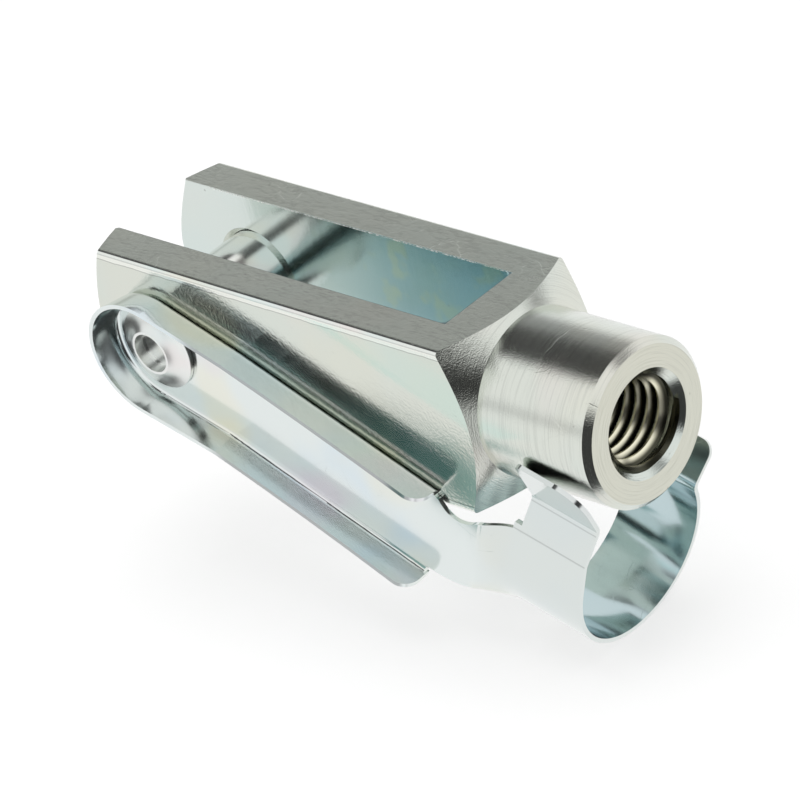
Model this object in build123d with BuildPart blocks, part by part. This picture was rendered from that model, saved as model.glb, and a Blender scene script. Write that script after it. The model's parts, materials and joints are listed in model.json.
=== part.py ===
from build123d import *
import os
from math import acos, atan2, cos, degrees, hypot, isclose, radians, sin, tan

# Fork head with a spring clip pin, in millimetres.
# The origin is where the pin's axis crosses the fork's axis, midway between the ears.
# +X runs along the fork to the threaded neck, +Z is up, and the clip lies on the -Y side.

# Fork
bar_side = 19.7
bar_edge_radius = 0.55
slot_width = 10.4
slot_corner_radius = 0.8
slot_reach = 39.75
slot_mouth_chamfer = 0.3
tip_reach = 12.25
tip_flat_inset = 0.35
cone_angle = 30.0
neck_diameter = 18.0
neck_length = 14.8
neck_reach = 60.05
neck_edge_chamfer = 0.7
thread_diameter = 10.0
sink_depth = 0.85

# Pin
pin_diameter = 9.94
pin_clearance = 0.05
hole_edge_chamfer = 0.55
pin_overhang = 0.8
pin_end_chamfer = 0.8
tenon_diameter = 5.5
rivet_diameter = 9.7
rivet_edge = 0.45
rivet_height = 1.55
rivet_slope = 0.15
rivet_rim_width = 0.3
rivet_hole_diameter = 4.6
rivet_hole_depth = 1.4

# Clip's arm
sheet = 0.5
clip_gap = 0.05
clip_drop_angle = 21.65
head_radius = 6.7
head_drop = 0.25
arm_half_width = 6.42
arm_rise = 0.53
arm_taper_end = 11.0
flange_lean = 7.1
flange_head_height = 4.0
flange_waist_dip = 0.35
flange_waist_reach = 17.0
flange_end_height = 3.8
flange_bend_radius = 0.6
flange_corner_radius = 2.0
relief_radius = 0.35
relief_inset = 0.45
relief_depth = 1.0

# Strip from the arm to the sleeve: its runs along the arm, and its lower and upper edge at waist and bend
waist_run = 1.95
waist_low = -4.65
waist_high = 4.75
strip_run = 3.7
bend_low = -3.5
bend_high = 6.2
bend_run = 3.95
bend_lead = 1.0
bend_lead_rise = 0.65
bend_round_share = 0.6

# Sleeve that snaps over the neck
sleeve_setback = 2.65
sleeve_length = 9.4
sleeve_rise = 3.34
sleeve_tilt = 6.5
sleeve_clearance = 0.2

# Sleeve's folds: angle above the near or far side, and stand-off from the sleeve's outer circle
skirt_angle = 50.0
crease_angle = 29.4
crease_standoff = 0.7
crease_bend_radius = 0.6
near_kink_angle = 50.9
near_kink_standoff = 1.39
tab_angle = 56.1
tab_standoff = 8.24
tab_setback = 0.9
tab_inner_corner = 0.8
tab_outer_corner = 3.5
far_kink_angle = 22.0
far_lip_angle = 30.75
far_lip_standoff = 4.38
far_lip_inner_corner = 3.2
far_lip_outer_corner = 1.5
lip_bend_radius = 0.9

# Sizes that follow
half_bar = bar_side / 2
neck_radius = neck_diameter / 2
neck_start = neck_reach - neck_length
cone_slope = tan(radians(cone_angle))
blank_radius = bar_side
tip_flat_radius = slot_width / 2 - tip_flat_inset
hole_radius = pin_diameter / 2 + pin_clearance
thread_radius = thread_diameter / 2
web_inner = half_bar + clip_gap
web_outer = web_inner + sheet
head_seat = -(web_outer + clip_gap)
head_top = head_seat - rivet_height
sleeve_reach = neck_reach - sleeve_setback
sleeve_radius = neck_radius + sleeve_clearance + sheet
strip_bend = sleeve_reach - sleeve_length - bend_run
strip_waist = strip_bend - strip_run
arm_end = strip_waist - waist_run
arm_low = arm_rise - arm_half_width
arm_high = arm_rise + arm_half_width
web_margin = sheet + flange_bend_radius
flange_waist_height = flange_end_height - flange_waist_dip
wall_inset = sheet * (1 / cos(radians(flange_lean)) - tan(radians(flange_lean)))
head_rim = head_radius + flange_head_height * tan(radians(flange_lean))


def swung(along, up):
    """Point of the clip's middle plane, from its place along and above the arm's centre line."""
    drop = radians(clip_drop_angle)
    return Vector(along * cos(drop) + up * sin(drop), 0, up * cos(drop) - along * sin(drop))


def head_tangent(radius, up):
    """Point where a line from the taper's end, at a height on the arm, touches the head's circle."""
    rise = up + head_drop
    angle = atan2(abs(rise), arm_taper_end) + acos(radius / hypot(arm_taper_end, rise))
    return (radius * cos(angle), radius * sin(angle) * (1 if rise > 0 else -1) - head_drop)


def about_sleeve(angle, standoff=0.0):
    """Point of the sleeve's section, at an angle above its near side and a distance outside its circle."""
    reach = sleeve_radius + standoff
    return (-reach * cos(radians(angle)), reach * sin(radians(angle)))


def strip_corners(low, high):
    """Corners of a stretch of the flat strip's cross-section."""
    return ((-web_outer, low), (-web_outer, high), (-web_inner, high), (-web_inner, low))


def rims(body, radius):
    """Round edges of one radius on a body."""
    return body.edges().filter_by(GeomType.CIRCLE).filter_by(lambda edge: isclose(edge.radius, radius))


# The square bar, turned at both ends, then slotted, drilled across and bored for the thread
with BuildPart() as fork_head:
    with BuildSketch(Plane.YZ.offset(-tip_reach)):
        RectangleRounded(bar_side, bar_side, bar_edge_radius)
    extrude(amount=tip_reach + neck_reach)
    with BuildSketch(Plane.XY):
        with BuildLine():
            Polyline(
                (-tip_reach, 0),
                (-tip_reach, tip_flat_radius),
                (-tip_reach + (blank_radius - tip_flat_radius) * cone_slope, blank_radius),
                (neck_start - (blank_radius - neck_radius) * cone_slope, blank_radius),
                (neck_start, neck_radius),
                (neck_reach - neck_edge_chamfer, neck_radius),
                (neck_reach, neck_radius - neck_edge_chamfer),
                (neck_reach, 0),
                close=True,
            )
        make_face()
    revolve(axis=Axis.X, mode=Mode.INTERSECT)
    with BuildSketch(Plane.XY):
        with Locations((slot_reach, 0)):
            slot = Rectangle(slot_reach + 2 * tip_reach, slot_width, align=(Align.MAX, Align.CENTER))
        fillet(slot.vertices().group_by(Axis.X)[-1], slot_corner_radius)
    extrude(amount=bar_side, both=True, mode=Mode.SUBTRACT)
    slot_edges = fork_head.edges().filter_by_position(Axis.Y, -slot_width / 2, slot_width / 2)
    chamfer(slot_edges.sort_by(Axis.X)[:2], slot_mouth_chamfer)
    with BuildSketch(Plane.XZ):
        Circle(hole_radius)
    extrude(amount=bar_side, both=True, mode=Mode.SUBTRACT)
    chamfer(rims(fork_head, hole_radius), hole_edge_chamfer)
    with BuildSketch(Plane.YZ.offset(neck_reach)):
        Circle(thread_radius)
    extrude(amount=slot_reach - neck_reach, mode=Mode.SUBTRACT)
    chamfer(rims(fork_head, thread_radius).sort_by(Axis.X)[-1], sink_depth)
fork_head.part.label = "fork_head"

# The pin with its riveted head, turned about Y
with BuildPart() as clevis_pin:
    with BuildSketch(Plane.XY):
        with BuildLine():
            rim = (rivet_hole_diameter / 2 + rivet_rim_width, head_top)
            edge = (rivet_diameter / 2, head_seat - rivet_edge)
            far_end = half_bar + pin_overhang
            Polyline(
                rim,
                (rivet_hole_diameter / 2, head_top),
                (rivet_hole_diameter / 2, head_top + rivet_hole_depth),
                (0, head_top + rivet_hole_depth),
                (0, far_end),
                (pin_diameter / 2 - pin_end_chamfer, far_end),
                (pin_diameter / 2, far_end - pin_end_chamfer),
                (pin_diameter / 2, -half_bar),
                (tenon_diameter / 2, -half_bar),
                (tenon_diameter / 2, head_seat),
                (rivet_diameter / 2, head_seat),
                edge,
            )
            TangentArc(edge, rim, tangent=(-1, -rivet_slope))
        make_face()
    revolve(axis=Axis.Y)
clevis_pin.part.label = "clevis_pin"

# Plane of the arm's inner side, with its first axis along the arm, its second up and its normal outward
arm_along = swung(1, 0)
arm_up = swung(0, 1)
outward = Vector(0, -1, 0)
arm_plane = Plane(origin=outward * web_inner, x_dir=arm_along, z_dir=outward)

# Plane through the arm's centre line, square to its web
side_plane = Plane(origin=(0, 0, 0), x_dir=arm_along, z_dir=arm_up)

# Plane of the sleeve's fork-side end, with Y across, its second axis up and its normal along the sleeve
tilt = radians(sleeve_tilt)
sleeve_axis = arm_along * cos(tilt) + arm_up * sin(tilt)
sleeve_mouth = swung(sleeve_reach, sleeve_rise)
sleeve_plane = Plane(origin=sleeve_mouth - sleeve_axis * sleeve_length, x_dir=(0, 1, 0), z_dir=sleeve_axis)

# Corners of the sleeve's section; its near wall leaves the circle at a tangent to the crease
wall_angle = crease_angle - degrees(acos(sleeve_radius / (sleeve_radius + crease_standoff)))
skirt = about_sleeve(-skirt_angle)
skirt_middle = about_sleeve((wall_angle - skirt_angle) / 2)
wall_foot = about_sleeve(wall_angle)
crease = about_sleeve(crease_angle, crease_standoff)
near_kink = about_sleeve(near_kink_angle, near_kink_standoff)
tab_top = about_sleeve(tab_angle, tab_standoff)
far_kink = about_sleeve(180 - far_kink_angle)
far_lip_end = about_sleeve(180 - far_lip_angle, far_lip_standoff)

# The clip, cut and folded from one sheet
with BuildPart() as spring_clip:
    # Tray-shaped arm: a web with a leaning flange all round but at the sleeve's end
    for depth, inset, mode in ((0, 0, Mode.ADD), (sheet, wall_inset, Mode.SUBTRACT)):
        radius = head_radius - inset
        low = arm_low + inset
        high = arm_high - inset
        with BuildSketch(arm_plane.offset(depth)):
            with BuildLine():
                ThreePointArc(head_tangent(radius, high), (-radius, -head_drop), head_tangent(radius, low))
                Polyline(
                    head_tangent(radius, low),
                    (arm_taper_end, low),
                    (arm_end + sheet, low),
                    (arm_end + sheet, high),
                    (arm_taper_end, high),
                    head_tangent(radius, high),
                )
            make_face()
        extrude(amount=flange_head_height - depth, taper=-flange_lean, mode=mode)
    along_axis = Axis((0, 0, 0), arm_along)
    up_axis = Axis((0, 0, 0), arm_up)
    for depth, radius in ((0, web_margin), (sheet, flange_bend_radius)):
        web_level = -web_inner - depth
        root_edges = spring_clip.edges().filter_by_position(Axis.Y, web_level, web_level).sort_by(along_axis)
        fillet(root_edges[:-1], radius)

    # The flange is cut square at the sleeve's end, and its rim dips along the arm
    with BuildSketch(side_plane):
        with BuildLine():
            Polyline(
                (-head_rim, -web_inner - flange_head_height),
                (-head_rim, -web_inner),
                (arm_end, -web_inner),
                (arm_end, -web_inner - flange_end_height),
            )
            ThreePointArc(
                (arm_end, -web_inner - flange_end_height),
                (flange_waist_reach, -web_inner - flange_waist_height),
                (-head_rim, -web_inner - flange_head_height),
            )
        make_face()
    extrude(amount=2 * head_rim, both=True, mode=Mode.INTERSECT)
    flange_ends = spring_clip.edges().filter_by(up_axis).group_by(Axis.Y)[0]
    fillet(flange_ends, flange_corner_radius)

    # Web beyond the flanges, narrowing to the strip, with a relief at each flange's root
    web_end = arm_end + relief_radius
    web_overlap = arm_end - relief_radius
    web_low = arm_low + web_margin
    web_high = arm_high - web_margin
    with BuildSketch(arm_plane):
        with BuildLine():
            upper_edge = Spline((web_end, web_high), (strip_waist, waist_high), (strip_bend, bend_high))
            lower_edge = Spline((strip_bend, bend_low), (strip_waist, waist_low), (web_end, web_low))
            Line(upper_edge @ 1, lower_edge @ 0)
            Polyline(lower_edge @ 1, (web_overlap, web_low), (web_overlap, web_high), upper_edge @ 0)
        make_face()
    extrude(amount=sheet)
    with BuildSketch(arm_plane):
        with Locations((arm_end, web_high + relief_inset), (arm_end, web_low - relief_inset)):
            Circle(relief_radius)
    extrude(amount=relief_depth, mode=Mode.SUBTRACT)

    # Bend that jogs inward to the sleeve's near wall: its lower stretch grows round, its upper one stays flat
    for rounded in (True, False):
        for lead, rise in ((0, 0), (bend_lead, bend_lead_rise)):
            low = bend_low + rise
            high = bend_high + rise
            seam = low + (high - low) * bend_round_share
            corners = strip_corners(low, seam) if rounded else strip_corners(seam, high)
            with BuildSketch(Plane(origin=swung(strip_bend + lead, 0), x_dir=(0, 1, 0), z_dir=arm_along)):
                Polygon(*corners, align=None)
        for depth in (0, bend_lead):
            with BuildSketch(sleeve_plane.offset(depth)):
                with BuildLine():
                    if rounded:
                        ThreePointArc(skirt, skirt_middle, wall_foot)
                    else:
                        Line(wall_foot, crease)
                    offset(amount=sheet, side=Side.RIGHT)
                make_face()
        loft()

    # Open sleeve, from the thumb tab down the near wall, under and up to the flared far lip
    with BuildSketch(sleeve_plane):
        with BuildLine() as contour:
            Polyline(tab_top, near_kink, crease, wall_foot)
            ThreePointArc(wall_foot, (0, -sleeve_radius), far_kink)
            Line(far_kink, far_lip_end)
            fillet(contour.vertices().sort_by_distance(near_kink)[0], lip_bend_radius)
            fillet(contour.vertices().sort_by_distance(crease)[0], crease_bend_radius + sheet)
            fillet(contour.vertices().sort_by_distance(far_kink)[0], lip_bend_radius)
            offset(amount=sheet, side=Side.LEFT)
        make_face()
    extrude(amount=sleeve_length)

    # The tab starts a little in from the sleeve's fork-side end
    with BuildSketch(sleeve_plane):
        with Locations((tab_top[0] - sheet, crease[1] + crease_bend_radius)):
            Rectangle(-tab_top[0], tab_top[1], align=Align.MIN)
    extrude(amount=tab_setback, mode=Mode.SUBTRACT)
    for corner, place, radius in (
        (tab_top, tab_setback, tab_inner_corner),
        (tab_top, sleeve_length, tab_outer_corner),
        (far_lip_end, 0, far_lip_inner_corner),
        (far_lip_end, sleeve_length, far_lip_outer_corner),
    ):
        short_edges = spring_clip.edges().filter_by(lambda edge: isclose(edge.length, sheet, rel_tol=1e-4))
        fillet(short_edges.sort_by_distance(sleeve_plane.from_local_coords((*corner, place)))[0], radius)

    # Hole for the pin's tenon
    with BuildSketch(arm_plane):
        Circle(tenon_diameter / 2 + pin_clearance)
    extrude(amount=sheet, mode=Mode.SUBTRACT)
spring_clip.part.label = "spring_clip"

os.makedirs("parts", exist_ok=True)
for piece in (fork_head, clevis_pin, spring_clip):
    export_step(piece.part, f"parts/{piece.part.label}.step")
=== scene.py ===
"""Looks of a fork head with a spring clip pin: its finishes, its thread, the studio and the camera."""

from __future__ import annotations

import json
import logging
import math
from dataclasses import dataclass
from enum import Enum

import bpy
from mathutils import Matrix, Vector

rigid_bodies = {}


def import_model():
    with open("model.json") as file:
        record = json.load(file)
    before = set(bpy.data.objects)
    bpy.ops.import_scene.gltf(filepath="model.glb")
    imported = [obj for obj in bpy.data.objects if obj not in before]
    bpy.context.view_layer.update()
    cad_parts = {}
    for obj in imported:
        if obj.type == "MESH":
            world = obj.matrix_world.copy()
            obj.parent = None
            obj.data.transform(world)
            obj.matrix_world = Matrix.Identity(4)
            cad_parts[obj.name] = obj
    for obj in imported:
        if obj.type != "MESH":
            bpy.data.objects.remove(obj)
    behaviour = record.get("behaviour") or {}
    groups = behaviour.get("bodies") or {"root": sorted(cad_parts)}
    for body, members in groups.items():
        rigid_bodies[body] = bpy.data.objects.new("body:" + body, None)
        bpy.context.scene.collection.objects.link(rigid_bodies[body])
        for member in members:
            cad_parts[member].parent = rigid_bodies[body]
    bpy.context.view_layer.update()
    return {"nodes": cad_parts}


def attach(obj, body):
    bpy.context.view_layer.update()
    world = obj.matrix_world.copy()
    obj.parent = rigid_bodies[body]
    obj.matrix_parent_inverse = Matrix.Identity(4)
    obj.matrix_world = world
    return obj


MM = 0.001

Triple = tuple[float, float, float]
Colour = Triple
Span = tuple[float, float]
Socket = bpy.types.NodeSocket
Sockets = bpy.types.bpy_prop_collection
Source = Socket | float | tuple
Material = bpy.types.Material
Object = bpy.types.Object
Tree = bpy.types.NodeTree
Inputs = dict[str, tuple[str, object]]
Group = tuple["Sheet", Sockets, Sockets]

WHITE: Colour = (1.0, 1.0, 1.0)
LINE_GREY: Colour = (0.30, 0.31, 0.29)
EDGE_GREY: Colour = (0.34, 0.36, 0.36)
NOISE_MIDDLE = 0.5
HALF_TURN = 180.0

# Mix node's data types, each with the numbers of its two inputs and its output, whose names repeat
MIX_NUMBERS = ("FLOAT", 2, 3, 0)
MIX_COLOURS = ("RGBA", 6, 7, 2)

log = logging.getLogger("fork_head_looks")


class RayKind(Enum):
    """Rays that the white surroundings answer to."""

    CAMERA = "Is Camera Ray"
    GLOSSY = "Is Glossy Ray"
    TRANSMISSION = "Is Transmission Ray"


class Effect(Enum):
    """Shader effects that more than one finish uses."""

    FILM = "passivation_film"
    GRAIN = "fine_grain"
    SCUFFS = "scuffs_and_specks"


@dataclass(frozen=True)
class Tint:
    """A colour and the share of what lies under it that it covers."""

    colour: Colour
    share: float


@dataclass(frozen=True)
class Marks:
    """Fine marks: how many to a unit of their vector, the share of coarse ones, their depth in metres."""

    scale: float
    coarse: float
    depth: float


def opaque(colour: Source) -> Source:
    """The colour with full alpha, as colour sockets want it, or the socket that gives it."""
    return (*colour, 1.0) if isinstance(colour, tuple) else colour


class Sheet:
    """Short calls for adding and joining the nodes of one tree."""

    def __init__(self, tree: Tree) -> None:
        """Starts on an existing tree."""
        self.tree = tree

    @classmethod
    def group(cls, kind: str, name: str, inputs: dict[str, str], outputs: dict[str, str]) -> Group:
        """Makes a node group with its sockets.

        Args:
            kind: The tree's type, such as ShaderNodeTree.
            name: The group's name.
            inputs: Socket type, such as Float, by input name.
            outputs: Socket type by output name.

        Returns:
            The group's sheet, the sockets that hold what it is given, and the sockets of its result.
        """
        sheet = cls(bpy.data.node_groups.new(name, kind))
        for way, sockets in (("INPUT", inputs), ("OUTPUT", outputs)):
            for label, what in sockets.items():
                sheet.tree.interface.new_socket(label, in_out=way, socket_type="NodeSocket" + what)
        return sheet, sheet.add("NodeGroupInput").outputs, sheet.add("NodeGroupOutput").inputs

    def add(self, kind: str, inputs: dict | None = None, **settings: object) -> bpy.types.Node:
        """Adds a node.

        Args:
            kind: The node's type, such as ShaderNodeMath.
            inputs: Sources by input name or number.
            settings: Properties set on the node itself.

        Returns:
            The new node.
        """
        node = self.tree.nodes.new(kind)
        for name, value in settings.items():
            setattr(node, name, value)
        for key, source in (inputs or {}).items():
            self.feed(node.inputs[key], source)
        return node

    def feed(self, socket: Socket, source: Source) -> None:
        """Joins an output to an input, or writes a plain value on the input."""
        if isinstance(source, Socket):
            self.tree.links.new(source, socket)
        else:
            socket.default_value = source

    def own_place(self) -> Socket:
        """Place in the object's own coordinates, in metres."""
        return self.add("ShaderNodeTexCoord").outputs["Object"]

    def math(self, operation: str, *terms: Source, clamp: bool = False) -> Socket:
        """Result of one Math node, from its operation and inputs, held between 0 and 1 if clamped."""
        node = self.add("ShaderNodeMath", dict(enumerate(terms)), operation=operation, use_clamp=clamp)
        return node.outputs[0]

    def times(self, first: Source, second: Source) -> Socket:
        """Product of two numbers."""
        return self.math("MULTIPLY", first, second)

    def plus(self, first: Source, second: Source) -> Socket:
        """Sum of two numbers."""
        return self.math("ADD", first, second)

    def minus(self, first: Source, second: Source, clamp: bool = False) -> Socket:
        """First number less the second, held between 0 and 1 if clamped."""
        return self.math("SUBTRACT", first, second, clamp=clamp)

    def absolute(self, value: Source) -> Socket:
        """The number without its sign."""
        return self.math("ABSOLUTE", value)

    def larger(self, first: Source, second: Source) -> Socket:
        """The larger of two numbers."""
        return self.math("MAXIMUM", first, second)

    def radius(self, first: Source, second: Source) -> Socket:
        """Distance from an axis, from the two places across it."""
        return self.math("SQRT", self.plus(self.times(first, first), self.times(second, second)))

    def vector(self, operation: str, *terms: Source, out: str = "Vector") -> Socket:
        """Result of one Vector Math node, from its operation and inputs: its Vector or its Value."""
        return self.add("ShaderNodeVectorMath", dict(enumerate(terms)), operation=operation).outputs[out]

    def scaled(self, vector: Source, factor: Source) -> Socket:
        """The vector times one number."""
        node = self.add("ShaderNodeVectorMath", {"Vector": vector, "Scale": factor}, operation="SCALE")
        return node.outputs["Vector"]

    def split(self, vector: Source) -> tuple[Socket, ...]:
        """The vector's three parts."""
        return tuple(self.add("ShaderNodeSeparateXYZ", {0: vector}).outputs)

    def joined(self, *parts: Source) -> Socket:
        """A vector from its three parts."""
        return self.add("ShaderNodeCombineXYZ", dict(enumerate(parts))).outputs[0]

    def ease(self, value: Source, low: Source, high: Source) -> Socket:
        """A smooth step from 0 at low to 1 at high; low may lie above high."""
        limits = {"Value": value, "From Min": low, "From Max": high}
        return self.add("ShaderNodeMapRange", limits, interpolation_type="SMOOTHSTEP").outputs[0]

    def between(self, factor: Source, first: Source, second: Source, kind: tuple = MIX_NUMBERS) -> Socket:
        """Two values of one kind blended; the factor is the share of the second."""
        data_type, one, two, out = kind
        values = {0: factor, one: first, two: second}
        return self.add("ShaderNodeMix", values, data_type=data_type).outputs[out]

    def blend(self, factor: Source, first: Source, second: Source) -> Socket:
        """Two colours blended; the factor is the share of the second."""
        return self.between(factor, opaque(first), opaque(second), MIX_COLOURS)

    def tinted(self, colour: Source, mask: Source, tint: Tint) -> Socket:
        """The colour with a tint laid over it where the mask is above 0."""
        return self.blend(self.times(mask, tint.share), colour, tint.colour)

    def mixed(self, factor: Source, first: Source, second: Source) -> Socket:
        """Two shaders mixed; the factor is the share of the second."""
        return self.add("ShaderNodeMixShader", dict(enumerate((factor, first, second)))).outputs[0]

    def noise(self, vector: Source, scale: Source, detail: float = 2.0) -> Socket:
        """Smooth noise between 0 and 1 at a number of swells per unit of the vector."""
        values = {"Vector": vector, "Scale": scale, "Detail": detail}
        return self.add("ShaderNodeTexNoise", values).outputs["Fac"]


@dataclass(frozen=True)
class EffectSizes:
    """Rates and limits inside the shared effects."""

    clouds: tuple[tuple[str, float, Span], ...] = (
        ("Cool", 0.0, (0.46, 0.66)), ("Warm", 31.0, (0.5, 0.68)), ("Rose", 77.0, (0.56, 0.72)),
    )
    cloud_detail: float = 1.5
    grain_detail: float = 3.0
    coarse_rate: float = 0.17
    sway_rates: Triple = (0.3, 0.37, 0.41)
    sway: float = 3.0
    scratch_rate: float = 0.12
    scratch_edge: Span = (0.012, 0.002)
    patch_rate: float = 0.16
    patch_edge: Span = (0.56, 0.64)
    speck_rate: float = 0.55
    speck_edge: Span = (0.11, 0.05)
    speck_rarity: Span = (0.86, 0.9)


class EffectKit:
    """Node groups of the shader effects that the finishes share."""

    def __init__(self, sizes: EffectSizes = EffectSizes()) -> None:
        """Builds each group once."""
        self.sizes = sizes
        self.groups = {
            Effect.FILM: self._film(),
            Effect.GRAIN: self._grain(),
            Effect.SCUFFS: self._scuffs(),
        }

    @staticmethod
    def _start(effect: Effect, inputs: dict[str, str], outputs: dict[str, str]) -> Group:
        """Makes an effect's group; all take a vector and a scale besides the named inputs."""
        given = {"Vector": "Vector", "Scale": "Float", **inputs}
        return Sheet.group("ShaderNodeTree", effect.value, given, outputs)

    def _film(self) -> Tree:
        """Clouds of pale blue, straw and rose that a thin passivated layer shows on zinc."""
        inputs = {name: "Color" for name in ("Base", "Cool", "Warm", "Rose")}
        sheet, given, result = self._start(Effect.FILM, {**inputs, "Amount": "Float"}, {"Colour": "Color"})
        colour: Source = given["Base"]
        for name, shift, edge in self.sizes.clouds:
            place = sheet.vector("ADD", given["Vector"], (shift, shift, shift))
            cloud = sheet.ease(sheet.noise(place, given["Scale"], self.sizes.cloud_detail), *edge)
            colour = sheet.blend(sheet.times(cloud, given["Amount"]), colour, given[name])
        sheet.feed(result["Colour"], colour)
        return sheet.tree

    def _grain(self) -> Tree:
        """Fine lines or grains, stretched by the vector that goes in."""
        sheet, given, result = self._start(Effect.GRAIN, {"Coarse share": "Float"}, {"Height": "Float"})
        fine = sheet.noise(given["Vector"], given["Scale"], self.sizes.grain_detail)
        slow = sheet.noise(given["Vector"], sheet.times(given["Scale"], self.sizes.coarse_rate))
        sheet.feed(result["Height"], sheet.between(given["Coarse share"], fine, slow))
        return sheet.tree

    def _scuffs(self) -> Tree:
        """Sparse short scratches and small dark specks, as masks from 0 to 1."""
        sheet, given, result = self._start(Effect.SCUFFS, {}, {"Scratches": "Float", "Specks": "Float"})
        sizes = self.sizes
        vector, scale = given["Vector"], given["Scale"]
        sway = sheet.joined(*[sheet.noise(vector, rate) for rate in sizes.sway_rates])
        bent = sheet.vector("ADD", sheet.scaled(vector, scale), sheet.scaled(sway, sizes.sway))
        values = {"Vector": bent, "Scale": sizes.scratch_rate}
        wave = sheet.add("ShaderNodeTexVoronoi", values, feature="DISTANCE_TO_EDGE")
        line = sheet.ease(wave.outputs["Distance"], *sizes.scratch_edge)
        patch = sheet.ease(sheet.noise(vector, sizes.patch_rate), *sizes.patch_edge)
        sheet.feed(result["Scratches"], sheet.times(line, patch))
        values = {"Vector": vector, "Scale": sheet.times(scale, sizes.speck_rate)}
        cell = sheet.add("ShaderNodeTexVoronoi", values, feature="F1")
        dot = sheet.ease(cell.outputs["Distance"], *sizes.speck_edge)
        rare = sheet.ease(sheet.split(cell.outputs["Color"])[0], *sizes.speck_rarity)
        sheet.feed(result["Specks"], sheet.times(dot, rare))
        return sheet.tree


@dataclass(frozen=True)
class ZincTints:
    """Colours of blue-passivated zinc, its clouds' swells per millimetre and how strong they are."""

    base: Colour = (0.80, 0.83, 0.79)
    cool: Colour = (0.68, 0.83, 0.85)
    warm: Colour = (0.88, 0.82, 0.68)
    rose: Colour = (0.88, 0.76, 0.76)
    scale: float = 0.09
    amount: float = 0.45


class Metal:
    """A metal material under way: its shader, its sheet and the piece's own coordinates in millimetres."""

    def __init__(self, name: str, kit: EffectKit) -> None:
        """Starts a material with a plain metallic shader."""
        self.kit = kit
        self.material = bpy.data.materials.new(name)
        self.material.use_nodes = True
        self.sheet = Sheet(self.material.node_tree)
        self.shader = self.material.node_tree.nodes["Principled BSDF"]
        self.sheet.feed(self.shader.inputs["Metallic"], 1.0)
        coordinates = self.sheet.add("ShaderNodeTexCoord").outputs
        self.place = self.sheet.scaled(coordinates["Object"], 1 / MM)
        self.normal = coordinates["Normal"]

    def _effect(self, effect: Effect, values: dict[str, Source]) -> Sockets:
        """Puts an effect's group into the material, with its inputs by name, and returns its outputs."""
        return self.sheet.add("ShaderNodeGroup", values, node_tree=self.kit.groups[effect]).outputs

    def film(self, tints: ZincTints) -> Socket:
        """Colour of the plating with its clouds."""
        colours = {"Base": tints.base, "Cool": tints.cool, "Warm": tints.warm, "Rose": tints.rose}
        values = {name: opaque(colour) for name, colour in colours.items()}
        values.update({"Vector": self.place, "Scale": tints.scale, "Amount": tints.amount})
        return self._effect(Effect.FILM, values)["Colour"]

    def grain(self, vector: Source, marks: Marks) -> Socket:
        """Height of fine marks along a vector."""
        values = {"Vector": vector, "Scale": marks.scale, "Coarse share": marks.coarse}
        return self._effect(Effect.GRAIN, values)["Height"]

    def scuffs(self, scale: float) -> Sockets:
        """Masks of the scratches and of the specks, at a scale to the millimetre."""
        return self._effect(Effect.SCUFFS, {"Vector": self.place, "Scale": scale})

    def around(self, along: Source, one: Source, two: Source, rate: float, turn: float = 1.0) -> Socket:
        """Stretched vector round an axis, from the place along it and the two across, for turned lines."""
        sheet = self.sheet
        angle = sheet.times(sheet.math("ARCTAN2", one, two), turn)
        return sheet.joined(sheet.times(along, rate), sheet.times(sheet.radius(one, two), rate), angle)

    def bump(self, height: Source, depth: float, under: Socket | None = None) -> Socket:
        """Normal with a bump whose full step is so deep in metres, over the normal below it, if any."""
        node = self.sheet.add("ShaderNodeBump", {"Strength": 1.0, "Distance": depth, "Height": height})
        if under is not None:
            self.sheet.feed(node.inputs["Normal"], under)
        return node.outputs["Normal"]

    def marked(self, vector: Source, marks: Marks) -> Socket:
        """Normal of the surface with fine marks along a vector."""
        return self.bump(self.grain(vector, marks), marks.depth)

    def finish(self, colour: Source, roughness: Source, normal: Socket) -> Material:
        """Joins colour, roughness and normal to the shader and returns the material."""
        for name, source in (("Base Color", opaque(colour)), ("Roughness", roughness), ("Normal", normal)):
            self.sheet.feed(self.shader.inputs[name], source)
        return self.material


@dataclass(frozen=True)
class ForkZones:
    """Masks from 0 to 1 for the fork's surfaces."""

    top: Source
    side: Source
    slot: Source
    deep_slot: Source
    turned: Source
    end_face: Source


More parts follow.
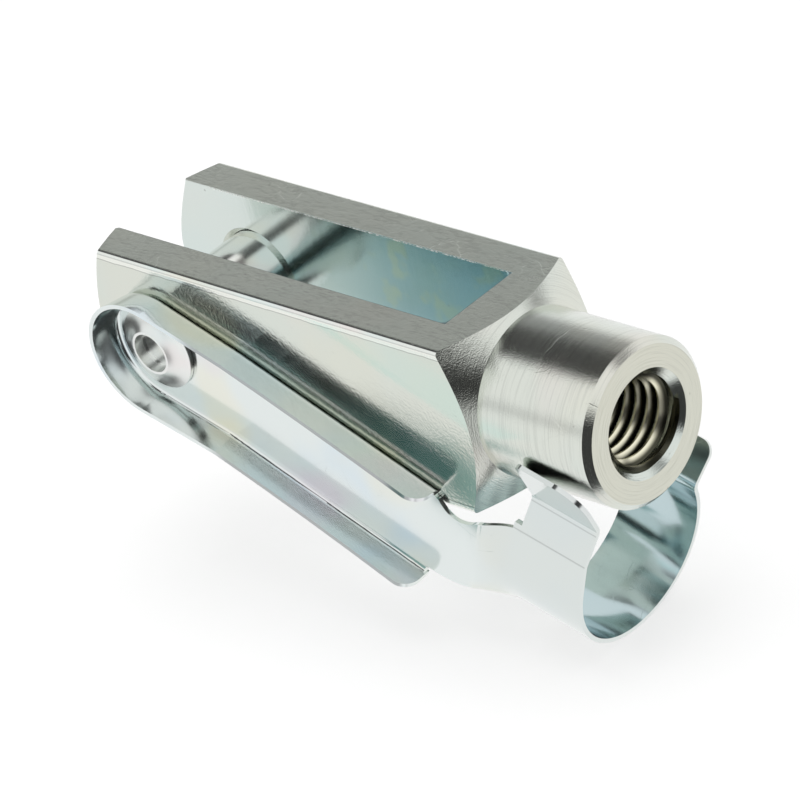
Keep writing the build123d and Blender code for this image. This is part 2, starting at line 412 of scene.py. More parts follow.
@dataclass(frozen=True)
class ForkFinish:
    """Drawn bar flats, turned neck and cones, and a milled slot, all zinc plated; places in millimetres."""

    tints: ZincTints = ZincTints()
    top_tint: Tint = Tint((0.74, 0.79, 0.71), 0.85)
    side_tint: Tint = Tint((0.66, 0.68, 0.60), 0.65)
    slot_tint: Tint = Tint((0.66, 0.73, 0.70), 0.8)
    # Painted shade: dark teal deep in the slot, standing in for the shade and dim reflections there
    deep_slot_shade: Tint = Tint((0.27, 0.45, 0.49), 0.75)
    turned_tint: Tint = Tint((0.66, 0.69, 0.62), 0.6)
    face_tint: Tint = Tint((0.66, 0.66, 0.57), 0.9)
    patch_tint: Tint = Tint((0.50, 0.58, 0.44), 0.6)
    # Painted highlight: a pale band along the side faces' rounded top and bottom edges, standing in for
    # their reflection
    edge_highlight_tint: Tint = Tint((0.92, 0.93, 0.88), 0.7)
    ring_line: Tint = Tint(LINE_GREY, 0.16)
    drawn_line: Tint = Tint(LINE_GREY, 0.2)
    # Painted shade: a dark line along the border of the painted edge highlight
    edge_shade_line: Tint = Tint(LINE_GREY, 0.55)
    speck: Tint = Tint(LINE_GREY, 0.45)
    facing_flat: Span = (0.93, 0.985)
    facing_slope: Span = (0.3, 0.42)
    facing_end: Span = (0.97, 0.995)
    slot_side: Span = (5.25, 5.21)
    slot_end: Span = (39.85, 39.8)
    slot_depth: Span = (1.0, 24.0)
    neck_start: Span = (45.15, 45.35)
    flat_reach: float = 9.85
    bevel: float = 0.78
    bevel_wander: float = 0.3
    wander_rate: float = 0.5
    edge_highlight_span: Span = (0.02, -0.05)
    edge_shade_span: Span = (0.1, 0.03)
    patch_rate: float = 0.3
    patch_edge: Span = (0.5, 0.66)
    line_edge: Span = (0.52, 0.36)
    top_roughness: float = 0.25
    side_roughness: float = 0.11
    slot_roughness: float = 0.15
    turned_roughness: float = 0.15
    haze: float = 0.1
    haze_rate: float = 0.25
    dimples: Marks = Marks(3.4, 0.15, 1.8e-5)
    cone: Marks = Marks(6.5, 0.15, 1.8e-5)
    drawn: Marks = Marks(3.6, 0.3, 0.8e-5)
    drawn_stretch: Triple = (0.3, 1.0, 1.0)
    milled: Marks = Marks(1.6, 0.5, 1.6e-5)
    milled_stretch: Triple = (1.0, 1.0, 0.15)
    rings: Marks = Marks(1.3, 0.12, 0.9e-5)
    ring_rate: float = 6.2
    ring_turn_rate: float = 1.2
    scratch_scale: float = 1.6
    scratch_depth: float = 0.9e-5
    speck_scale: float = 1.0

    def _zones(self, metal: Metal) -> ForkZones:
        """Tells the fork's surfaces apart by where they lie and which way they face."""
        sheet = metal.sheet
        x, y, _ = sheet.split(metal.place)
        facing = [sheet.absolute(part) for part in sheet.split(metal.normal)]
        top = sheet.ease(facing[2], *self.facing_flat)
        upright = sheet.ease(facing[1], *self.facing_flat)
        neck = sheet.ease(x, *self.neck_start)
        slot = sheet.times(sheet.ease(sheet.absolute(y), *self.slot_side), sheet.ease(x, *self.slot_end))
        flat = sheet.larger(sheet.larger(top, upright), slot)
        outside_neck = sheet.minus(1.0, neck)
        sloped = sheet.times(sheet.ease(facing[0], *self.facing_slope), sheet.minus(1.0, flat))
        return ForkZones(
            top=sheet.times(top, outside_neck),
            side=sheet.times(upright, sheet.minus(outside_neck, slot, clamp=True)),
            slot=slot,
            deep_slot=sheet.times(slot, sheet.ease(x, *self.slot_depth)),
            turned=sheet.larger(sloped, neck),
            end_face=sheet.times(sheet.ease(facing[0], *self.facing_end), neck),
        )

    def _marks(self, metal: Metal, zones: ForkZones) -> tuple[Socket, Socket, Socket]:
        """Surface marks of each way the fork was made.

        Args:
            metal: The material under way.
            zones: The fork's surfaces.

        Returns:
            The bumped normal, the turning lines' height and the drawing lines' height.
        """
        sheet = metal.sheet
        place = metal.place
        turning = metal.around(*sheet.split(place), self.ring_rate, self.ring_turn_rate)
        rings = metal.grain(turning, self.rings)
        drawn = metal.grain(sheet.vector("MULTIPLY", place, self.drawn_stretch), self.drawn)
        milled = metal.grain(sheet.vector("MULTIPLY", place, self.milled_stretch), self.milled)
        scratches = metal.scuffs(self.scratch_scale)["Scratches"]
        normal: Socket | None = None
        for height, mask, depth in (
            (metal.grain(place, self.dimples), sheet.larger(zones.side, zones.top), self.dimples.depth),
            (metal.grain(place, self.cone), zones.turned, self.cone.depth),
            (drawn, zones.top, self.drawn.depth),
            (milled, zones.slot, self.milled.depth),
            (rings, zones.turned, self.rings.depth),
            (scratches, sheet.larger(zones.turned, zones.top), -self.scratch_depth),
        ):
            normal = metal.bump(sheet.times(height, mask), depth, normal)
        return normal, rings, drawn

    def _colour(self, metal: Metal, zones: ForkZones, rings: Source, drawn: Source) -> Source:
        """Colour of the plating on each surface, with its lines, clouds and specks, painted shade deep in
        the slot and a painted edge highlight on the sides.

        Args:
            metal: The material under way.
            zones: The fork's surfaces.
            rings: Height of the turning lines.
            drawn: Height of the drawing lines.

        Returns:
            The colour.
        """
        sheet = metal.sheet
        colour: Source = metal.film(self.tints)
        for mask, tint in (
            (zones.top, self.top_tint), (zones.side, self.side_tint), (zones.slot, self.slot_tint),
            # deep_slot: painted shade, darker towards the slot's closed end
            (zones.deep_slot, self.deep_slot_shade), (zones.turned, self.turned_tint),
            (zones.end_face, self.face_tint),
        ):
            colour = sheet.tinted(colour, mask, tint)
        lines = ((zones.turned, rings, self.ring_line), (zones.top, drawn, self.drawn_line))
        for mask, height, tint in lines:
            colour = sheet.tinted(colour, sheet.times(sheet.ease(height, *self.line_edge), mask), tint)
        cloud = sheet.ease(sheet.noise(metal.place, self.patch_rate), *self.patch_edge)
        colour = sheet.tinted(colour, sheet.times(zones.deep_slot, cloud), self.patch_tint)
        # Painted highlight in a band near the side faces' top and bottom edges, with a painted dark line at
        # its border
        wander = sheet.times(sheet.noise(metal.place, self.wander_rate), self.bevel_wander)
        height = sheet.absolute(sheet.split(metal.place)[2])
        below = sheet.minus(sheet.minus(self.flat_reach - self.bevel, height), wander)
        strip = sheet.times(sheet.ease(below, *self.edge_highlight_span), zones.side)
        colour = sheet.tinted(colour, strip, self.edge_highlight_tint)
        # Painted dark line at the painted highlight's border
        edge_shade = sheet.times(sheet.ease(sheet.absolute(below), *self.edge_shade_span), zones.side)
        colour = sheet.tinted(colour, edge_shade, self.edge_shade_line)
        return sheet.tinted(colour, metal.scuffs(self.speck_scale)["Specks"], self.speck)

    def build(self, kit: EffectKit) -> Material:
        """Builds the material and returns it."""
        metal = Metal("fork_zinc", kit)
        sheet = metal.sheet
        zones = self._zones(metal)
        normal, rings, drawn = self._marks(metal, zones)
        colour = self._colour(metal, zones, rings, drawn)
        roughness: Source = self.side_roughness
        for mask, value in (
            (zones.top, self.top_roughness), (zones.slot, self.slot_roughness),
            (zones.turned, self.turned_roughness),
        ):
            roughness = sheet.between(mask, roughness, value)
        swing = sheet.minus(sheet.noise(metal.place, self.haze_rate), NOISE_MIDDLE)
        return metal.finish(colour, sheet.plus(roughness, sheet.times(swing, self.haze)), normal)


@dataclass(frozen=True)
class ThreadFinish:
    """Cut thread: bright, faintly yellow crests, with painted shade that darkens it towards the roots."""

    crest: Colour = (0.90, 0.87, 0.68)
    # root: near-black painted shade in the thread's grooves
    root: Colour = (0.07, 0.07, 0.05)
    root_shade_span: Span = (4.3, 4.8)
    roughness: float = 0.2
    grain: Marks = Marks(4.0, 0.4, 2.0e-6)

    def build(self, kit: EffectKit) -> Material:
        """Builds the material and returns it."""
        metal = Metal("thread_zinc", kit)
        sheet = metal.sheet
        _, y, z = sheet.split(metal.place)
        # Painted shade: darker from the crests towards the roots
        depth = sheet.ease(sheet.radius(y, z), *self.root_shade_span)
        colour = sheet.blend(depth, self.crest, self.root)
        return metal.finish(colour, self.roughness, metal.marked(metal.place, self.grain))


@dataclass(frozen=True)
class PinFinish:
    """Turned pin with a bright, spun rivet head."""

    tints: ZincTints = ZincTints(base=(0.84, 0.86, 0.84), scale=0.16, amount=0.3)
    roughness: float = 0.16
    rivet_roughness: float = 0.3
    rivet: Span = (-10.6, -10.9)
    rings: Marks = Marks(1.4, 0.3, 2.0e-6)
    ring_rate: float = 2.4

    def build(self, kit: EffectKit) -> Material:
        """Builds the material and returns it."""
        metal = Metal("pin_zinc", kit)
        sheet = metal.sheet
        x, y, z = sheet.split(metal.place)
        roughness = sheet.between(sheet.ease(y, *self.rivet), self.roughness, self.rivet_roughness)
        normal = metal.marked(metal.around(y, x, z, self.ring_rate), self.rings)
        return metal.finish(metal.film(self.tints), roughness, normal)


@dataclass(frozen=True)
class ClipFinish:
    """Smooth rolled spring sheet, zinc plated after bending; places in millimetres."""

    tints: ZincTints = ZincTints(
        base=(0.78, 0.83, 0.82), cool=(0.66, 0.77, 0.85), warm=(0.85, 0.82, 0.67), rose=(0.79, 0.74, 0.80),
        amount=0.5,
    )
    sleeve_tint: Tint = Tint((0.70, 0.74, 0.72), 0.7)
    # Painted shade: teal darkening on the sleeve's inside, standing in for its shade and dim reflections
    sleeve_inside_shade: Tint = Tint((0.50, 0.63, 0.66), 0.85)
    cut_tint: Tint = Tint(EDGE_GREY, 0.8)
    speck: Tint = Tint(EDGE_GREY, 0.35)
    sleeve_mouth: Triple = (54.58, 0.0, -18.08)
    arm_drop: float = 21.65
    sleeve_tilt: float = 6.5
    sleeve_from: Span = (40.0, 45.0)
    facing_in: Span = (-0.3, -0.6)
    facing_side: Span = (0.8, 0.95)
    rim: Span = (-12.9, -13.1)
    arm_start: Span = (6.0, 10.0)
    arm_end: Span = (42.0, 39.0)
    roughness: float = 0.12
    scratch_roughness: float = 0.15
    rolled: Marks = Marks(1.4, 0.4, 2.0e-6)
    rolled_stretch: Triple = (0.4, 1.0, 1.0)
    scuff_scale: float = 2.2
    scratch_depth: float = 1.0e-6

    @property
    def sleeve_line(self) -> Triple:
        """Direction of the sleeve's centre line, away from the pin."""
        angle = math.radians(self.arm_drop - self.sleeve_tilt)
        return (math.cos(angle), 0.0, -math.sin(angle))

    def build(self, kit: EffectKit) -> Material:
        """Builds the material and returns it."""
        metal = Metal("clip_zinc", kit)
        sheet = metal.sheet
        x, y, _ = sheet.split(metal.place)
        on_sleeve = sheet.ease(x, *self.sleeve_from)
        colour = sheet.tinted(metal.film(self.tints), on_sleeve, self.sleeve_tint)
        # Painted shade on the surfaces that face the sleeve's centre line
        colour = sheet.tinted(colour, sheet.times(on_sleeve, self._inward(metal)), self.sleeve_inside_shade)
        scuffs = metal.scuffs(self.scuff_scale)
        normal = metal.marked(sheet.vector("MULTIPLY", metal.place, self.rolled_stretch), self.rolled)
        normal = metal.bump(scuffs["Scratches"], -self.scratch_depth, normal)
        roughness = sheet.plus(self.roughness, sheet.times(scuffs["Scratches"], self.scratch_roughness))
        upright = sheet.ease(sheet.absolute(sheet.split(metal.normal)[1]), *self.facing_side)
        on_arm = sheet.times(sheet.ease(x, *self.arm_start), sheet.ease(x, *self.arm_end))
        cut = sheet.times(sheet.times(sheet.ease(y, *self.rim), upright), on_arm)
        colour = sheet.tinted(colour, cut, self.cut_tint)
        return metal.finish(sheet.tinted(colour, scuffs["Specks"], self.speck), roughness, normal)

    def _inward(self, metal: Metal) -> Source:
        """Mask of the surfaces that face the sleeve's own centre line."""
        sheet = metal.sheet
        apart = sheet.vector("SUBTRACT", metal.place, self.sleeve_mouth)
        along = sheet.vector("DOT_PRODUCT", apart, self.sleeve_line, out="Value")
        radial = sheet.vector("SUBTRACT", apart, sheet.scaled(self.sleeve_line, along))
        facing = sheet.vector("DOT_PRODUCT", sheet.vector("NORMALIZE", radial), metal.normal, out="Value")
        return sheet.ease(facing, *self.facing_in)


@dataclass(frozen=True)
class BurrFinish:
    """Bright bare edge of the zinc."""

    colour: Colour = (0.95, 0.95, 0.92)
    roughness: float = 0.35
    grain: Marks = Marks(8.0, 0.4, 2.0e-6)

    def build(self, kit: EffectKit) -> Material:
        """Builds the material and returns it."""
        metal = Metal("burr_zinc", kit)
        return metal.finish(self.colour, self.roughness, metal.marked(metal.place, self.grain))


def placed(name: str, data: bpy.types.ID) -> Object:
    """A new object in the scene, with the given mesh, lamp or camera."""
    made = bpy.data.objects.new(name, data)
    bpy.context.scene.collection.objects.link(made)
    return made


def flat(name: str, spots: list[tuple]) -> Object:
    """A new object of one flat face, from its corners in metres."""
    mesh = bpy.data.meshes.new(name)
    mesh.from_pydata(spots, [], [tuple(range(len(spots)))])
    return placed(name, mesh)


def bare_material(name: str) -> tuple[Material, Sheet]:
    """A material without nodes, and its sheet."""
    material = bpy.data.materials.new(name)
    material.use_nodes = True
    material.node_tree.nodes.clear()
    return material, Sheet(material.node_tree)


def only_mirrored(piece: Object) -> None:
    """Hides an object from all rays but those of reflections."""
    for rays in ("camera", "diffuse", "shadow", "transmission", "volume_scatter"):
        setattr(piece, "visible_" + rays, False)


class NodeTreeBuilder:
    """Base for the pieces that Geometry Nodes make: starts a tree and turns its result into a plain mesh.

    Their inputs are given as socket type and value by name.
    """

    @staticmethod
    def start(name: str, inputs: Inputs) -> Group:
        """Makes a geometry tree; returns its sheet and the sockets of its inputs and its result."""
        kinds = {label: kind for label, (kind, _) in inputs.items()}
        return Sheet.group("GeometryNodeTree", name, kinds, {"Geometry": "Geometry"})

    @staticmethod
    def close(sheet: Sheet, result: Sockets, geometry: Source, material: Source) -> Tree:
        """Ends the tree in Realize Instances and Set Material, and returns it."""
        realize = sheet.add("GeometryNodeRealizeInstances", {0: geometry})
        values = {"Geometry": realize.outputs[0], "Material": material}
        sheet.feed(result["Geometry"], sheet.add("GeometryNodeSetMaterial", values).outputs[0])
        return sheet.tree

    @staticmethod
    def baked(name: str, tree: Tree, inputs: Inputs) -> Object:
        """Runs the tree and keeps its result as a plain mesh.

        Args:
            name: The piece's name.
            tree: The geometry tree.
            inputs: Socket type and value by input name.

        Returns:
            The piece, with no modifier left.
        """
        carrier = placed(name + "_carrier", bpy.data.meshes.new(name + "_carrier"))
        modifier = carrier.modifiers.new("build", "NODES")
        modifier.node_group = tree
        for item in tree.interface.items_tree:
            if item.in_out == "INPUT":
                modifier[item.identifier] = inputs[item.name][1]
        carrier.update_tag()
        depsgraph = bpy.context.evaluated_depsgraph_get()
        mesh = bpy.data.meshes.new_from_object(carrier.evaluated_get(depsgraph), depsgraph=depsgraph)
        mesh.name = name
        carrier.modifiers.remove(modifier)
        bpy.data.objects.remove(carrier)
        return placed(name, mesh)


@dataclass(frozen=True)
class InnerThread(NodeTreeBuilder):
    """Right-hand thread ridge inside the neck's bore, in millimetres.

    The grid's rows, counted from 0 to 1, make the ridge's profile: two of them lie on its crest, and two on
    its leading side.
    """

    pitch: float = 1.5
    bore_start: float = 39.85
    bore_end: float = 59.35
    root_radius: float = 5.02
    crest_radius: float = 4.22
    root_share: float = 0.84
    crest_share: float = 0.13
    segments: int = 120
    fade_turns: float = 0.6
    rows: int = 5
    crest_rows: float = 0.375
    leading_rows: float = 0.625
    row_reach: float = 0.2
    half: float = 0.5
    weld: float = 1e-7

    def inputs(self, material: Material) -> Inputs:
        """Socket type and value of the tree's inputs."""
        turns = (self.bore_end - self.bore_start) / self.pitch
        return {
            "Pitch": ("Float", self.pitch * MM),
            "Start": ("Float", self.bore_start * MM),
            "Turns": ("Float", turns),
            "Root radius": ("Float", self.root_radius * MM),
            "Crest radius": ("Float", self.crest_radius * MM),
            "Root width": ("Float", self.root_share * self.pitch * MM),
            "Crest width": ("Float", self.crest_share * self.pitch * MM),
            "Fade": ("Float", self.fade_turns),
            "Steps": ("Int", round(turns * self.segments)),
            "Material": ("Material", material),
        }

    def tree(self, inputs: Inputs) -> Tree:
        """Builds the tree that winds a trapezoid profile into a helix and returns it."""
        sheet, given, result = self.start("thread_ridge", inputs)
        sizes = {"Size X": 1.0, "Size Y": 1.0, "Vertices X": given["Steps"], "Vertices Y": self.rows}
        grid = sheet.add("GeometryNodeMeshGrid", sizes)
        u, v, _ = sheet.split(sheet.add("GeometryNodeInputPosition").outputs[0])
        along = sheet.plus(u, self.half)
        across = sheet.plus(v, self.half)
        on_crest, leading = [
            sheet.math("LESS_THAN", sheet.absolute(sheet.minus(across, middle)), self.row_reach)
            for middle in (self.crest_rows, self.leading_rows)
        ]
        width = sheet.between(on_crest, given["Root width"], given["Crest width"])
        offset = sheet.times(width, sheet.minus(leading, self.half))
        turns = sheet.times(along, given["Turns"])
        left = sheet.minus(given["Turns"], turns)
        fade = sheet.math("DIVIDE", sheet.math("MINIMUM", turns, left), given["Fade"], clamp=True)
        crest = sheet.between(fade, given["Root radius"], given["Crest radius"])
        radius = sheet.between(on_crest, given["Root radius"], crest)
        angle = sheet.times(turns, math.tau)
        lead = sheet.times(turns, given["Pitch"])
        x = sheet.plus(sheet.plus(given["Start"], offset), lead)
        y, z = [sheet.times(radius, sheet.math(wave, angle)) for wave in ("COSINE", "SINE")]
        spots = {"Geometry": grid.outputs["Mesh"], "Position": sheet.joined(x, y, z)}
        wind = sheet.add("GeometryNodeSetPosition", spots).outputs[0]
        close = {"Geometry": wind, "Distance": self.weld}
        weld = sheet.add("GeometryNodeMergeByDistance", close).outputs[0]
        facets = sheet.add("GeometryNodeSetShadeSmooth", {"Geometry": weld, "Shade Smooth": False})
        return self.close(sheet, result, facets.outputs[0], given["Material"])

    def build(self, material: Material) -> Object:
        """Winds the ridge and returns it, riding on the fork."""
        inputs = self.inputs(material)
        piece = self.baked("thread_turns", self.tree(inputs), inputs)
        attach(piece, "fork")
        return piece


@dataclass(frozen=True)
class SlotBurrs(NodeTreeBuilder):
    """Tiny bright burrs along the slot's top edges, most of them much smaller than the largest; in mm."""

    first: float = -4.5
    last: float = 39.0
    edge: float = 5.19
    top: float = 9.84
    count: int = 240
    length: float = 0.26
    thickness: float = 0.08
    smallest: float = 0.2
    spread: float = 0.8
    rarity: float = 2.0
    seed: int = 7

    def inputs(self, material: Material, side: float, seed: int) -> Inputs:
        """Socket type and value of the tree's inputs, for the edge on one side of the slot."""
        step = (self.last - self.first) / (self.count - 1)
        start = (self.first * MM, side * self.edge * MM, (self.top - self.thickness) * MM)
        return {
            "First": ("Vector", start),
            "Step": ("Vector", (step * MM, 0.0, 0.0)),
            "Count": ("Int", self.count),
            "Grain": ("Vector", (self.length * MM, self.thickness * MM, self.thickness * MM)),
            "Seed": ("Int", seed),
            "Material": ("Material", material),
        }

    def tree(self, inputs: Inputs) -> Tree:
        """Builds the tree that strews flattened grains along a line and returns it."""
        sheet, given, result = self.start("edge_burrs", inputs)
        line = {"Count": given["Count"], "Start Location": given["First"], "Offset": given["Step"]}
        row = sheet.add("GeometryNodeMeshLine", line, mode="OFFSET")
        grain = sheet.add("GeometryNodeMeshIcoSphere", {"Radius": 1.0, "Subdivisions": 1})
        chance = sheet.add("FunctionNodeRandomValue", {"Seed": given["Seed"]}, data_type="FLOAT")
        share = sheet.math("POWER", chance.outputs[1], self.rarity)
        size = sheet.scaled(given["Grain"], sheet.plus(sheet.times(share, self.spread), self.smallest))
        strewn = {"Points": row.outputs[0], "Instance": grain.outputs["Mesh"], "Scale": size}
        place = sheet.add("GeometryNodeInstanceOnPoints", strewn)
        return self.close(sheet, result, place.outputs[0], given["Material"])

    def build(self, material: Material) -> list[Object]:
        """Strews the burrs on both ears and returns them, riding on the fork."""
        tree = self.tree(self.inputs(material, 1.0, self.seed))
        pieces = []
        edges = (("slot_burrs_far", 1.0, self.seed), ("slot_burrs_near", -1.0, self.seed + 1))
        for name, side, seed in edges:
            piece = self.baked(name, tree, self.inputs(material, side, seed))
            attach(piece, "fork")
            pieces.append(piece)
        return pieces


@dataclass(frozen=True)
class ProductCamera:
    """Long-lens camera at the photograph's viewing angle, in the fork's frame and in metres."""

    place: Triple = (0.37075, -0.2893, 0.2655)
    forward: Triple = (-0.6578, 0.5484, -0.5164)
    up: Triple = (-0.2246, 0.5116, 0.8293)
    focal_pixels: float = 5026.6
    picture_pixels: float = 800.0
    sensor: float = 36.0
    clip: Span = (0.01, 10.0)

    def build(self) -> Object:
        """Makes the camera, makes it the scene's, and returns it."""
        data = bpy.data.cameras.new("product_camera")
        data.sensor_width = self.sensor
        data.lens = self.focal_pixels / self.picture_pixels * self.sensor
        data.clip_start, data.clip_end = self.clip
        back = -Vector(self.forward).normalized()
        right = Vector(self.up).cross(back).normalized()
        turn = Matrix((right, back.cross(right), back)).transposed()
        camera = placed("product_camera", data)
        camera.matrix_world = Matrix.Translation(self.place) @ turn.to_4x4()
        bpy.context.scene.camera = camera
        return camera


class Card:
    """Base for the flat cards that only reflections see."""

    @staticmethod
    def hang(name: str, cloth: str, spots: list[Triple], shift: Vector) -> tuple[Object, Sheet, Socket]:
        """Hangs the card away from the surface that mirrors it.

        Args:
            name: The card's name.
            cloth: Its material's name.
            spots: Its corners as they lie on that surface, in millimetres.
            shift: The way from the surface to the card, in millimetres.

        Returns:
            The card, its material's sheet and the place on the surface, in millimetres.
        """
        card = flat(name, [((Vector(spot) + shift) * MM)[:] for spot in spots])
        only_mirrored(card)
        material, sheet = bare_material(cloth)
        card.data.materials.append(material)
        place = sheet.vector("SUBTRACT", sheet.own_place(), tuple(shift * MM))
        return card, sheet, sheet.scaled(place, 1 / MM)

    @staticmethod
    def shine(sheet: Sheet, cover: Source, colour: Source, strength: Source) -> None:
        """Ends the card's material: it glows where it covers and is clear elsewhere."""
        glow = sheet.add("ShaderNodeEmission", {"Color": colour, "Strength": strength}).outputs[0]
        clear = sheet.add("ShaderNodeBsdfTransparent").outputs[0]
        sheet.add("ShaderNodeOutputMaterial", {"Surface": sheet.mixed(cover, clear, glow)})


@dataclass(frozen=True)
class DarkFlag(Card):
    """Dark card beside the fork, which its near side mirrors to the camera; in millimetres on that side."""

    fork_half: float = 9.85
    distance: float = 22.0
    outline: tuple[Span, ...] = (
        (28.0, 3.1), (46.0, 0.9), (46.0, -12.0), (38.5, -9.0), (38.3, -2.0), (28.0, 2.0),
    )
    soft: Span = (3.0, 6.0)
    brightening: Span = (22.0, 58.0)
    level: float = 0.6
    tint: Colour = (0.62, 1.0, 0.96)

    def build(self) -> Object:
        """Stands the card beside the fork and returns it."""
        mirrored = Vector(ProductCamera().forward)
        mirrored.y = -mirrored.y
        shift = mirrored * ((self.distance - self.fork_half) / -mirrored.y)
        spots = [(along, -self.fork_half, up) for along, up in self.outline]
        flag, sheet, place = self.hang("dark_flag", "flag_cloth", spots, shift)
        along, _, up = sheet.split(place)
        (left, left_up), (right, right_up) = self.outline[:2]
        slope = (right_up - left_up) / (right - left)
        border = sheet.plus(sheet.times(sheet.minus(along, left), slope), left_up)
        soft = sheet.between(sheet.ease(along, left, right), *self.soft)
        cover = sheet.ease(sheet.minus(border, up), 0.0, soft)
        strength = sheet.times(sheet.ease(along, *self.brightening), self.level)
        self.shine(sheet, cover, opaque(self.tint), strength)
        return flag


@dataclass(frozen=True)
class RimStrip(Card):
    """Narrow bright card over the arm's upper rim; in millimetres along that rim and out from it."""

    rim_line: tuple[Span, Span] = ((-8.0, 10.57), (45.0, -9.80))
    rim_side: float = -13.4
    way: Triple = (-0.082, -0.356, 0.931)
    height: float = 8.0
    reach: Span = (-3.8, 2.0)
    start: Span = (0.2, 0.45)
    end: Span = (1.9, 1.3)
    inner: Span = (-2.2, -3.1)
    inner_soft: float = 1.6
    veil_along: Span = (20.0, 40.0)
    veil_edge: Span = (0.2, 0.0)
    veil_share: float = 0.18
    level: float = 0.93
    tint: Colour = (0.35, 1.0, 0.95)

    def build(self) -> Object:
        """Hangs the card over the rim and returns it."""
        near, far = self.reach
        first, last = self.rim_line
        around = ((first, near), (last, near), (last, far), (first, far))
        spots = [(x, self.rim_side - out, z) for (x, z), out in around]
        strip, sheet, place = self.hang("rim_strip", "strip_glow", spots, Vector(self.way) * self.height)
        along, across, _ = sheet.split(place)
        out = sheet.minus(self.rim_side, across)
        outer = sheet.times(sheet.ease(out, *self.start), sheet.ease(out, *self.end))
        later = sheet.ease(along, *self.veil_along)
        edge = sheet.between(later, *self.inner)
        inner = sheet.ease(out, edge, sheet.minus(edge, self.inner_soft))
        bright = sheet.larger(outer, inner)
        veil = sheet.times(sheet.times(later, self.veil_share), sheet.ease(out, *self.veil_edge))
        colour = sheet.blend(bright, self.tint, WHITE)
        self.shine(sheet, sheet.larger(bright, veil), colour, self.level)
        return strip


@dataclass(frozen=True)
class TentPanel:
    """A patch of the light tent, in degrees round the object and above the horizon."""

    level: float
    azimuth: float
    half_width: float
    low: float
    high: float
    soft: float

    def mask(self, sheet: Sheet, azimuth: Source, elevation: Source) -> Socket:
        """Where the panel covers the tent, from 0 to 1."""
        aside = sheet.math("WRAP", sheet.minus(azimuth, self.azimuth), HALF_TURN, -HALF_TURN)
        side = sheet.ease(sheet.absolute(aside), self.half_width + self.soft, self.half_width - self.soft)
        above = sheet.ease(elevation, self.low - self.soft, self.low + self.soft)
        below = sheet.ease(elevation, self.high + self.soft, self.high - self.soft)
        return sheet.times(side, sheet.times(above, below))


@dataclass(frozen=True)
class Lamp:
    """A soft round lamp aimed at the object: its place and size in metres and its power in watts."""

    name: str
    place: Triple
    size: float
    power: float

    def build(self) -> None:
        """Hangs the lamp."""
        data = bpy.data.lights.new(self.name, "AREA")
        data.shape = "DISK"
        data.size = self.size
        data.energy = self.power
        lamp = placed(self.name, data)
        lamp.location = self.place
        lamp.rotation_euler = (-Vector(self.place)).to_track_quat("-Z", "Y").to_euler()
        lamp.visible_glossy = False


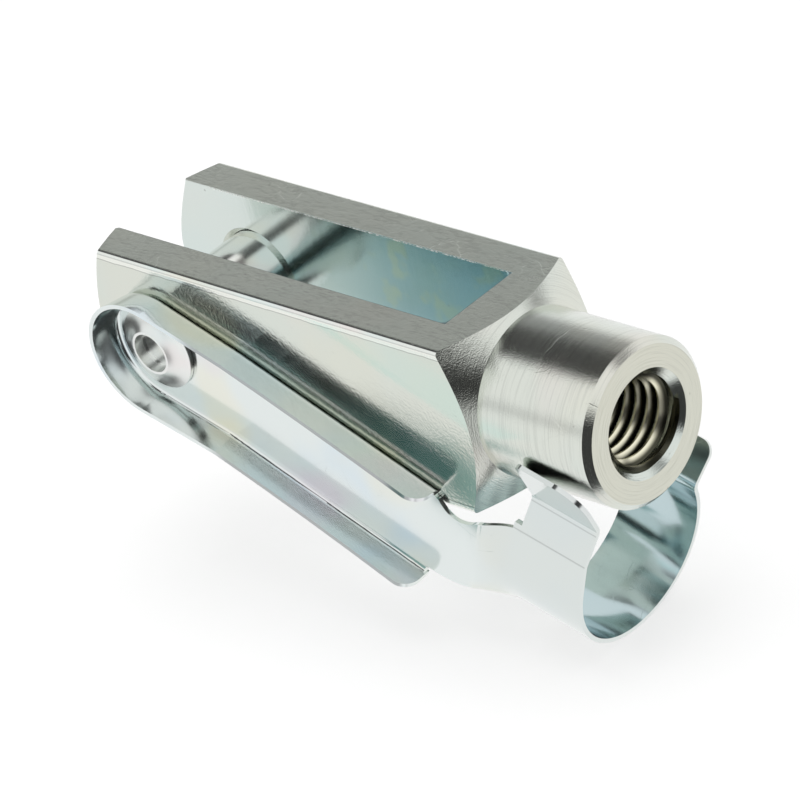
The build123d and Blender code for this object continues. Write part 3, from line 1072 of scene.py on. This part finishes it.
@dataclass(frozen=True)
class Studio:
    """Pale floor, white surroundings, lamps, and the tent whose bright and dark walls the metal mirrors."""

    ambient: float = 0.55
    backdrop: float = 1.0
    floor_level: float = -27.6
    floor_half: float = 0.9
    floor_fade: Span = (0.2, 0.05)
    floor_cover: float = 0.35
    floor_tint: Colour = (0.94, 0.94, 0.94)
    floor_roughness: float = 0.9
    tent_radius: float = 3.0
    tent_segments: int = 48
    tent_rings: int = 24
    wall_level: float = 0.97
    panels: tuple[TentPanel, ...] = (
        TentPanel(0.31, 145.0, 22.0, 20.0, 40.0, 10.0),
        TentPanel(0.07, 162.0, 38.0, 38.0, 120.0, 5.0),
        TentPanel(0.05, -42.0, 22.0, -60.0, 20.0, 7.0),
        TentPanel(0.04, -12.0, 24.0, -11.0, 13.0, 4.0),
        TentPanel(0.16, 53.0, 6.0, 3.0, 16.0, 5.0),
        TentPanel(0.22, 60.0, 40.0, 38.0, 120.0, 9.0),
        TentPanel(0.55, 228.0, 40.0, 3.0, 9.0, 6.0),
        TentPanel(0.02, 257.0, 24.0, 50.0, 84.0, 8.0),
    )
    lamps: tuple[Lamp, ...] = (
        Lamp("overhead", (0.05, 0.1, 0.8), 0.9, 5.2),
        Lamp("front_left", (-0.5, -0.6, 0.5), 0.7, 2.6),
    )

    def world(self) -> None:
        """Lights from all round, and shows white to camera, glossy and transmission rays."""
        world = bpy.data.worlds.new("white_surroundings")
        bpy.context.scene.world = world
        world.use_nodes = True
        world.node_tree.nodes.clear()
        sheet = Sheet(world.node_tree)
        rays = sheet.add("ShaderNodeLightPath").outputs
        seen: Source = 0.0
        for kind in RayKind:
            seen = sheet.larger(seen, rays[kind.value])
        plain, white = [
            sheet.add("ShaderNodeBackground", {"Color": opaque(WHITE), "Strength": strength}).outputs[0]
            for strength in (self.ambient, self.backdrop)
        ]
        sheet.add("ShaderNodeOutputWorld", {"Surface": sheet.mixed(seen, plain, white)})

    def floor(self) -> Object:
        """Lays a pale floor that fades in a circle into the white surroundings, and returns it."""
        reach = self.floor_half
        height = self.floor_level * MM
        ends = ((-reach, -reach), (reach, -reach), (reach, reach), (-reach, reach))
        floor = flat("floor", [(x, y, height) for x, y in ends])
        material = bpy.data.materials.new("pale_floor")
        material.use_nodes = True
        floor.data.materials.append(material)
        sheet = Sheet(material.node_tree)
        level = sheet.vector("MULTIPLY", sheet.own_place(), (1.0, 1.0, 0.0))
        near = sheet.ease(sheet.vector("LENGTH", level, out="Value"), *self.floor_fade)
        inputs = material.node_tree.nodes["Principled BSDF"].inputs
        sheet.feed(inputs["Base Color"], opaque(self.floor_tint))
        sheet.feed(inputs["Roughness"], self.floor_roughness)
        sheet.feed(inputs["Specular IOR Level"], 0.0)
        sheet.feed(inputs["Alpha"], sheet.times(near, self.floor_cover))
        floor.visible_glossy = False
        return floor

    def tent(self) -> Object:
        """Hangs the tent's shell, which only reflections see, and returns it."""
        bpy.ops.mesh.primitive_uv_sphere_add(
            segments=self.tent_segments, ring_count=self.tent_rings, radius=self.tent_radius
        )
        tent = bpy.context.object
        tent.name = "light_tent"
        only_mirrored(tent)
        material, sheet = bare_material("tent_cloth")
        tent.data.materials.append(material)
        x, y, z = sheet.split(sheet.vector("NORMALIZE", sheet.own_place()))
        azimuth = sheet.times(sheet.math("ARCTAN2", y, x), math.degrees(1.0))
        elevation = sheet.times(sheet.math("ARCSINE", z), math.degrees(1.0))
        level: Source = self.wall_level
        for panel in self.panels:
            level = sheet.between(panel.mask(sheet, azimuth, elevation), level, panel.level)
        glow = sheet.add("ShaderNodeEmission", {"Strength": level}).outputs[0]
        sheet.add("ShaderNodeOutputMaterial", {"Surface": glow})
        return tent

    def build(self) -> None:
        """Sets up the whole studio."""
        self.world()
        for make in (self.floor, self.tent, DarkFlag().build, RimStrip().build):
            log.info("stage: %s", make().name)
        for lamp in self.lamps:
            lamp.build()


@dataclass(frozen=True)
class Fork:
    """The fork head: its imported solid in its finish, the thread in its neck and the burrs on its slot."""

    finish: ForkFinish = ForkFinish()
    thread: InnerThread = InnerThread()
    thread_finish: ThreadFinish = ThreadFinish()
    burrs: SlotBurrs = SlotBurrs()
    burr_finish: BurrFinish = BurrFinish()

    def build(self, nodes: dict[str, Object], kit: EffectKit) -> None:
        """Dresses the fork, cuts its thread and strews its burrs."""
        dress(nodes["fork_head"], self.finish.build(kit))
        thread = self.thread.build(self.thread_finish.build(kit))
        for piece in (thread, *self.burrs.build(self.burr_finish.build(kit))):
            log.info("piece: %s", piece.name)


@dataclass(frozen=True)
class Pin:
    """The clevis pin in its finish."""

    finish: PinFinish = PinFinish()

    def build(self, nodes: dict[str, Object], kit: EffectKit) -> None:
        """Dresses the pin."""
        dress(nodes["clevis_pin"], self.finish.build(kit))


@dataclass(frozen=True)
class Clip:
    """The spring clip in its finish."""

    finish: ClipFinish = ClipFinish()

    def build(self, nodes: dict[str, Object], kit: EffectKit) -> None:
        """Dresses the clip."""
        dress(nodes["spring_clip"], self.finish.build(kit))


def dress(node: Object, material: Material) -> None:
    """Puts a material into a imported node's own slots."""
    for slot in node.material_slots:
        slot.material = material
    log.info("piece: %s", node.name)


def main() -> None:
    """Builds the pieces in order, then the studio and the camera."""
    logging.basicConfig(level=logging.INFO, format="%(message)s")
    for leftover in list(bpy.data.objects):
        bpy.data.objects.remove(leftover)
    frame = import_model()
    bpy.context.scene.view_settings.view_transform = "Standard"
    kit = EffectKit()
    for assembly in (Fork(), Pin(), Clip()):
        assembly.build(frame["nodes"], kit)
    Studio().build()
    ProductCamera().build()


if __name__ == "__main__":
    main()
